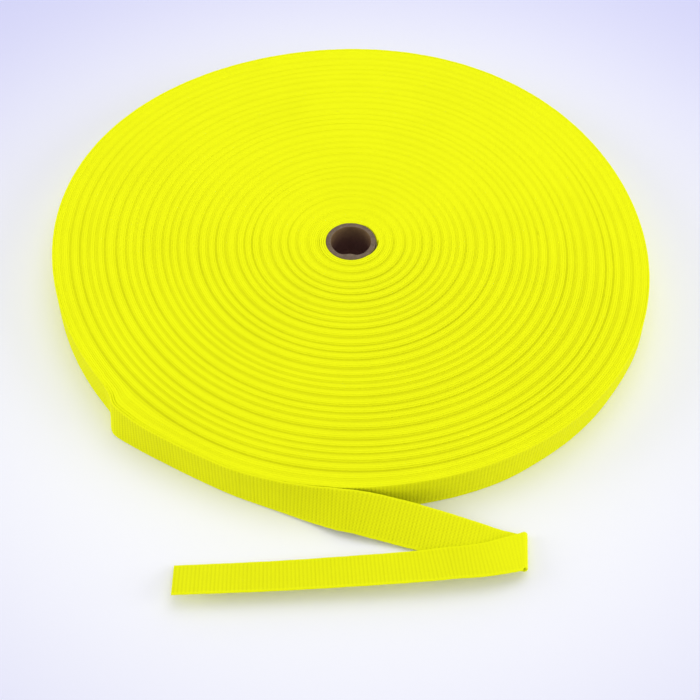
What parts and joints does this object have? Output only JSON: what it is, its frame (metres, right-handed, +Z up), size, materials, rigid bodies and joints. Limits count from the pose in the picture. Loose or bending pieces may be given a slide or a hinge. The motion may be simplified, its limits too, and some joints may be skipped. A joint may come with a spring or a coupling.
{
  "type": "roll of flat sling webbing",
  "caption": "Roll of fluorescent yellow flat woven webbing on a cardboard core, lying flat, with its outer end peeled off, folded back on itself and cut square.",
  "frame": {"origin": "on the core's axis, in the plane that the roll lies on", "axes": "+Z up along the core's axis; the loose end lies on the -Y side, its fold towards +X and its cut end towards -X"},
  "size_m": [0.3761, 0.4344, 0.026],
  "materials": {
    "webbing": "matte",
    "cardboard": "matte",
    "paper_tape": "matte"
  },
  "bodies": {
    "roll": {"core_tube": "cardboard", "starter_tape": "paper_tape", "wound_webbing": "webbing", "loosened_lap": "webbing"},
    "tail": {"tail_run": "webbing"},
    "free_end": {"tail_end": "webbing"}
  },
  "joints": [
    {"name": "tail_swing", "type": "hinge", "parent": "roll", "child": "tail", "pos_m": [-0.0621, -0.1793, 0.0004], "axis": [0.0122, 0.0496, 0.9987], "range_deg": [-60, 0]},
    {"name": "fold_opening", "type": "hinge", "parent": "tail", "child": "free_end", "pos_m": [0.0982, -0.2167, 0.0043], "axis": [0.0748, 0.9887, -0.13], "range_deg": [0, 110]}
  ]
}
